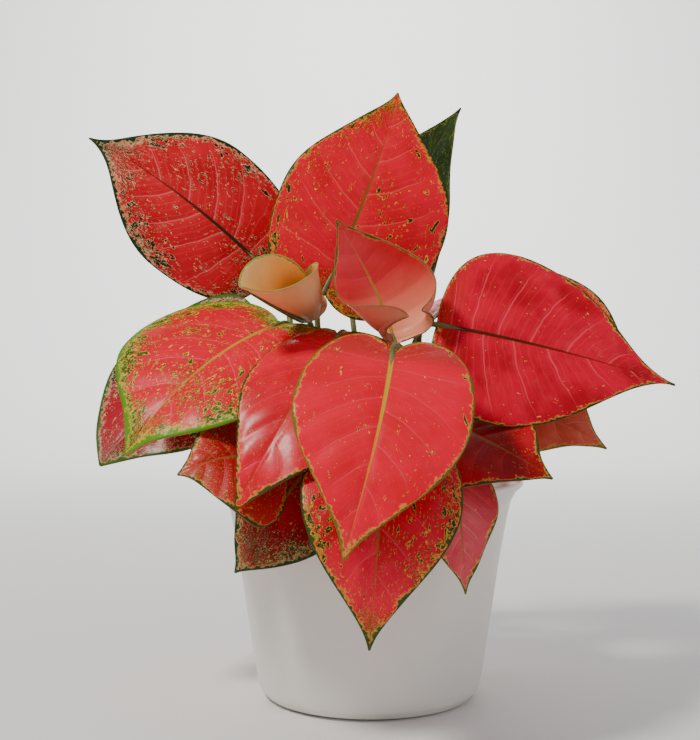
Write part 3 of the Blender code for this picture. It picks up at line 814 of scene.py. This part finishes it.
look("leaf_top", Main=(222, 6, 46), Deep=(202, 0, 34), Vein=(234, 94, 84),
     Rib=(112, 92, 36), Halo=(234, 170, 62), Flecks=0.75, Border_width=1.6, Gloss=0.10)
look("leaf_back_green", Main=(58, 84, 30), Deep=(40, 64, 24), Vein=(120, 136, 54),
     Rib=(118, 130, 60), Halo=(176, 172, 64), Fleck=(24, 42, 18), Border=(36, 60, 24),
     Foot=(60, 84, 36), Under=(92, 116, 70), Flecks=0.5)
look("leaf_upper_left", Main=(206, 28, 42), Deep=(184, 10, 30), Vein=(230, 112, 106),
     Rib=(54, 42, 22), Halo=(238, 190, 140), Fleck=(30, 44, 18), Flecks=0.95,
     Border_width=2.2, Border=(32, 52, 20), Vein_strength=0.7, Gloss=0.10)
look("leaf_right", Main=(218, 0, 52), Deep=(172, 0, 34), Vein=(234, 74, 86),
     Rib=(76, 42, 18), Flecks=0.15, Border_width=1.1, Vein_strength=0.8, Gloss=0.08)
look("leaf_right_back", Main=(216, 50, 62), Deep=(190, 30, 42), Flecks=0.6, Border_width=1.8)
look("leaf_left", Main=(226, 0, 48), Deep=(208, 0, 36), Vein=(238, 96, 106),
     Halo=(236, 214, 84), Fleck=(60, 88, 20), Border=(92, 140, 28), Flecks=1.2,
     Border_width=2.8, Rib=(190, 150, 50), Gloss=0.10)
look("leaf_left_back", Main=(172, 16, 38), Deep=(128, 4, 24), Vein=(202, 80, 80),
     Halo=(222, 190, 140), Border=(62, 92, 28), Flecks=0.95, Border_width=2.8)
look("leaf_front_left", Main=(236, 0, 54), Deep=(206, 0, 36), Vein=(240, 66, 88),
     Flecks=0.35, Border_width=1.4, Roughness=0.34, Gloss=0.15)
look("leaf_front", Main=(240, 0, 54), Deep=(222, 0, 40), Vein=(242, 70, 88),
     Rib=(202, 162, 44), Flecks=0.3, Border_width=1.3, Border=(110, 110, 34),
     Roughness=0.36, Gloss=0.16)
look("leaf_right_pale", Main=(216, 110, 84), Deep=(202, 84, 64), Vein=(232, 150, 122),
     Flecks=0.2, Border=(112, 112, 46))
look("leaf_right_low", Main=(190, 0, 34), Deep=(144, 0, 20), Vein=(212, 62, 62),
     Flecks=0.2, Vein_strength=0.4, Border_width=1.2)
look("leaf_left_low", Main=(202, 50, 46), Deep=(170, 28, 30), Flecks=0.6)
look("leaf_low_centre", Main=(226, 0, 52), Deep=(192, 0, 34), Vein=(236, 70, 84),
     Halo=(228, 184, 62), Flecks=0.85, Border_width=1.6, Gloss=0.18)
look("leaf_low_right_pink", Main=(218, 82, 94), Deep=(198, 58, 70), Vein=(234, 142, 132),
     Flecks=0.15, Border=(74, 92, 34))
look("leaf_low_left", Main=(162, 8, 26), Deep=(120, 0, 14), Vein=(190, 60, 76),
     Halo=(216, 196, 120), Border=(38, 60, 24), Flecks=0.95, Border_width=2.6)
look("leaf_rear", Flecks=0.7, Border_width=1.7)
look("young_leaf_small", Main=(250, 200, 128), Deep=(246, 184, 104), Vein=(244, 198, 152),
     Foot=(160, 100, 46), Foot_reach=0.45, Halo=(236, 214, 130), Border=(140, 150, 60),
     Under=(236, 172, 124), Flecks=0.0, Border_width=0.9, Vein_strength=0.1,
     Rib=(212, 142, 84))
look("young_leaf_large", Main=(228, 56, 66), Deep=(216, 40, 52), Vein=(238, 104, 98),
     Foot=(242, 162, 126), Foot_reach=0.55, Halo=(206, 172, 80), Border=(80, 88, 30),
     Under=(232, 132, 108), Flecks=0.0, Border_width=0.9, Vein_strength=0.2,
     Rib=(172, 142, 60))


COAT_SHARE = 0.6          # how much of the gloss is a thin wax over the blade
WAX_ROUGHNESS = 0.16
LEAF_RELIEF = 0.22 * MM
print("looks:", len(LOOKS))


def make_leaf_skin(name, values):
    mat, tree, shader = new_material(name + "_skin", values["Roughness"],
                                     values["Gloss"] * COAT_SHARE, WAX_ROUGHNESS)
    shader.inputs["Specular IOR Level"].default_value = values["Gloss"]
    marks = add(tree, "Group", node_tree=leaf_markings)
    for label in LEAF_COLOURS:
        marks.inputs[label].default_value = linear(*values[label])
    for label in LEAF_AMOUNTS:
        marks.inputs[label].default_value = values[label]
    tree.links.new(marks.outputs["Colour"], shader.inputs["Base Color"])
    tree.links.new(marks.outputs["Roughness"], shader.inputs["Roughness"])
    relief(tree, shader, marks.outputs["Height"], LEAF_RELIEF)
    return mat


# %% [markdown]
# ## Growing the leaves
# A leaf is its blade joined to the tube that is first stalk and then midrib.
# They could be two pieces, but they grew as one, so they are one. The far
# leaves share one look.

# %% Grow the leaves
stalk_skin = make_skin("stalk_skin", linear(86, 96, 48), linear(112, 118, 62),
                       linear(176, 176, 120))
skins = {name: make_leaf_skin(name, values) for name, values in LOOKS.items()}
for seed, (name, p) in enumerate(LEAVES.items()):
    slot = "leaf_rear" if name.startswith("leaf_rear") else name
    sheet = make_sheet(name + "_blade", p, seed)
    sheet.data.materials.append(skins[slot])
    stem = make_stalk(name + "_stalk", p)
    stem.data.materials.append(stalk_skin)
    finish_piece(join([sheet, stem], name), name)

# %% [markdown]
# ## Floor, light and camera
# A pale sweep of floor keeps the reds true. The main light stands high on the
# left, so that the blades are bright and shade the pot. A weaker one opens the
# shadows from the right, and a third lifts the sweep behind. The camera is
# level with the middle leaves.

# %% Studio
FLOOR_SIZE, FLOOR_MIDDLE = 14.0, (0, -3.0, 0)
BACKDROP_HEIGHT, BACKDROP_ROUND = 6.0, 2.5
PLANT_MIDDLE = (0, 0, 0.16)
AMBIENT = 0.38


def soft_light(name, place, aim, size, power, tint=(1, 1, 1)):
    data = bpy.data.lights.new(name, "AREA")
    data.shape, data.size, data.energy, data.color = "DISK", size, power, tint
    ob = bpy.data.objects.new(name, data)
    ob.location = place
    ob.rotation_euler = (Vector(aim) - Vector(place)).to_track_quat("-Z", "Y").to_euler()
    bpy.context.scene.collection.objects.link(ob)


bpy.ops.object.select_all(action="DESELECT")
bpy.ops.mesh.primitive_plane_add(size=FLOOR_SIZE, location=FLOOR_MIDDLE)
floor = bpy.context.object
floor.name = "floor"
bpy.ops.object.mode_set(mode="EDIT")
bpy.ops.mesh.select_all(action="DESELECT")
bpy.ops.object.mode_set(mode="OBJECT")
for edge in floor.data.edges:
    edge.select = all(floor.data.vertices[i].co.y > 0 for i in edge.vertices)
bpy.ops.object.mode_set(mode="EDIT")
bpy.ops.mesh.select_mode(type="EDGE")
bpy.ops.mesh.extrude_region_move(TRANSFORM_OT_translate={"value": (0, 0, BACKDROP_HEIGHT)})
bpy.ops.object.mode_set(mode="OBJECT")
sweep_round = floor.modifiers.new("Round the corner", "BEVEL")
sweep_round.width, sweep_round.segments = BACKDROP_ROUND, 16
apply_all(floor)
bpy.ops.object.shade_smooth()
paper, _, paper_shader = new_material("pale_floor", 0.8)
paper_shader.inputs["Base Color"].default_value = (0.86, 0.85, 0.83, 1)
floor.data.materials.append(paper)

world = bpy.data.worlds.new("studio")
world.use_nodes = True
world.node_tree.nodes["Background"].inputs[0].default_value = (0.92, 0.94, 1.0, 1)
world.node_tree.nodes["Background"].inputs[1].default_value = AMBIENT
bpy.context.scene.world = world
soft_light("key", (-0.75, -0.55, 1.30), (0, 0, 0.18), 0.26, 17.0, (1.0, 0.96, 0.90))
soft_light("backdrop", (0.0, 1.6, 2.6), (0, 4.0, 1.0), 1.5, 160.0)
soft_light("fill", (1.1, -0.7, 0.7), PLANT_MIDDLE, 1.0, 3.0)

lens = bpy.data.cameras.new("camera")
lens.lens, lens.sensor_width = 58.0, 36.0
camera = bpy.data.objects.new("camera", lens)
camera.location = (-0.0107, -0.67, 0.181)
camera.rotation_euler = (math.pi / 2, 0, 0)
bpy.context.scene.collection.objects.link(camera)
bpy.context.scene.camera = camera
